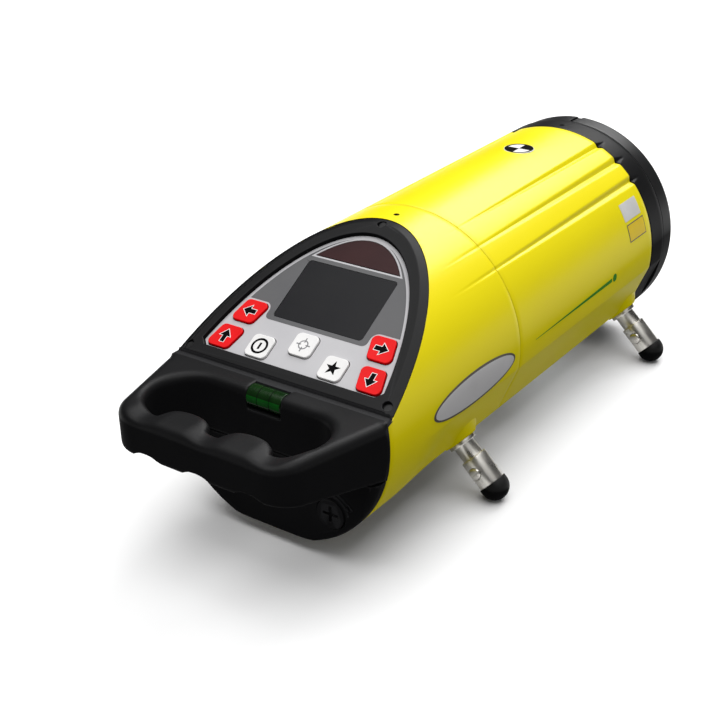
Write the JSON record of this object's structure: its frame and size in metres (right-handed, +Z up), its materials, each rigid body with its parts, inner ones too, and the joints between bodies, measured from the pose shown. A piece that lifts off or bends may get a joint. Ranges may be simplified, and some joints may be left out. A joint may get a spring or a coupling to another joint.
{
  "type": "pipe laser",
  "caption": "Pipe laser with a round yellow housing, sloped keypad panel, rear carrying handle, slide-out battery pack and screwed-in legs.",
  "frame": {"origin": "on the floor under the middle of the length, between the four ball feet", "axes": "+Y is the way the beam leaves, +Z is up, +X is to the right seen from the handle"},
  "size_m": [0.117, 0.267, 0.0971],
  "materials": {
    "shell_yellow": "glossy lemon yellow powder coat over cast aluminium",
    "moulding_black": "black glass-filled plastic, fine grain",
    "ring_black": "black anodised ring",
    "rubber_black": "matte black rubber",
    "steel": "turned stainless steel",
    "screw_black": "blackened steel screws",
    "beam_glass": "clear coated glass",
    "overlay_grey": "printed grey film",
    "display_dark": "dark clear display cover",
    "infrared_dark": "dark red infrared filter",
    "board_green": "green circuit board",
    "vial_green": "clear vial with green liquid",
    "inner_black": "black plastic",
    "contact_brass": "plated brass",
    "cell_wrap": "plain grey shrink wrap",
    "key_red": "red moulded key cap",
    "key_white": "white moulded key cap",
    "gimbal_metal": "machined aluminium",
    "motor_black": "black motor can",
    "mark_white": "white sighting target"
  },
  "bodies": {
    "housing": {"front_housing": "shell_yellow", "rear_housing": "shell_yellow", "housing_seal": "rubber_black", "front_collar": "moulding_black", "front_ring": "ring_black", "front_screws": "steel", "window_seal": "rubber_black", "window_glass": "beam_glass", "window_retainer": "steel", "panel_bezel": "moulding_black", "bezel_screws": "screw_black", "keypad_overlay": "overlay_grey", "display_window": "display_dark", "ir_window": "infrared_dark", "lcd_module": "display_dark", "display_board": "board_green", "ir_receiver": "infrared_dark", "handle": "moulding_black", "level_vial": "vial_green", "battery_bay": "inner_black", "bay_contacts": "contact_brass", "main_board": "board_green", "leg_front_left": "steel", "leg_front_right": "steel", "leg_rear_left": "steel", "leg_rear_right": "steel", "leg_screws": "steel", "foot_front_left": "rubber_black", "foot_front_right": "rubber_black", "foot_rear_left": "rubber_black", "foot_rear_right": "rubber_black", "gimbal_base": "gimbal_metal", "line_motor": "motor_black", "rotation_mark": "mark_white"},
    "battery": {"battery_cover": "moulding_black", "battery_case": "inner_black", "battery_cells": "cell_wrap", "battery_contacts": "contact_brass"},
    "battery_lock": {"lock_knob": "inner_black", "lock_cam": "steel"},
    "line_fork": {"line_yoke": "gimbal_metal", "grade_motor": "motor_black"},
    "laser": {"laser_tube": "gimbal_metal", "collimator_lens": "beam_glass", "laser_diode": "contact_brass"},
    "key_left_cap": {"key_left": "key_red"},
    "key_right_cap": {"key_right": "key_red"},
    "key_up_cap": {"key_up": "key_red"},
    "key_down_cap": {"key_down": "key_red"},
    "key_power_cap": {"key_power": "key_white"},
    "key_star_cap": {"key_star": "key_white"},
    "key_target_cap": {"key_target": "key_white"}
  },
  "joints": [
    {"name": "battery_slide", "type": "slide", "parent": "housing", "child": "battery", "axis": [0, -1, 0], "range_m": [0, 0.08]},
    {"name": "lock_turn", "type": "hinge", "parent": "battery", "child": "battery_lock", "pos_m": [0.02701, -0.097, 0.01991], "axis": [0, -1, 0], "range_deg": [0, 90]},
    {"name": "line_turn", "type": "hinge", "parent": "housing", "child": "line_fork", "pos_m": [0, 0.035, 0.02687], "axis": [0, 0, 1], "range_deg": [-6, 6]},
    {"name": "grade_tilt", "type": "hinge", "parent": "line_fork", "child": "laser", "pos_m": [0, 0.035, 0.04888], "axis": [1, 0, 0], "range_deg": [-9, 22]},
    {"name": "key_left_press", "type": "slide", "parent": "housing", "child": "key_left_cap", "axis": [0, 0.5, -0.866], "range_m": [0, 0.0006], "stiffness_N_per_m": 1500},
    {"name": "key_right_press", "type": "slide", "parent": "housing", "child": "key_right_cap", "axis": [0, 0.5, -0.866], "range_m": [0, 0.0006], "stiffness_N_per_m": 1500},
    {"name": "key_up_press", "type": "slide", "parent": "housing", "child": "key_up_cap", "axis": [0, 0.5, -0.866], "range_m": [0, 0.0006], "stiffness_N_per_m": 1500},
    {"name": "key_down_press", "type": "slide", "parent": "housing", "child": "key_down_cap", "axis": [0, 0.5, -0.866], "range_m": [0, 0.0006], "stiffness_N_per_m": 1500},
    {"name": "key_power_press", "type": "slide", "parent": "housing", "child": "key_power_cap", "axis": [0, 0.5, -0.866], "range_m": [0, 0.0006], "stiffness_N_per_m": 1500},
    {"name": "key_star_press", "type": "slide", "parent": "housing", "child": "key_star_cap", "axis": [0, 0.5, -0.866], "range_m": [0, 0.0006], "stiffness_N_per_m": 1500},
    {"name": "key_target_press", "type": "slide", "parent": "housing", "child": "key_target_cap", "axis": [0, 0.5, -0.866], "range_m": [0, 0.0006], "stiffness_N_per_m": 1500}
  ]
}
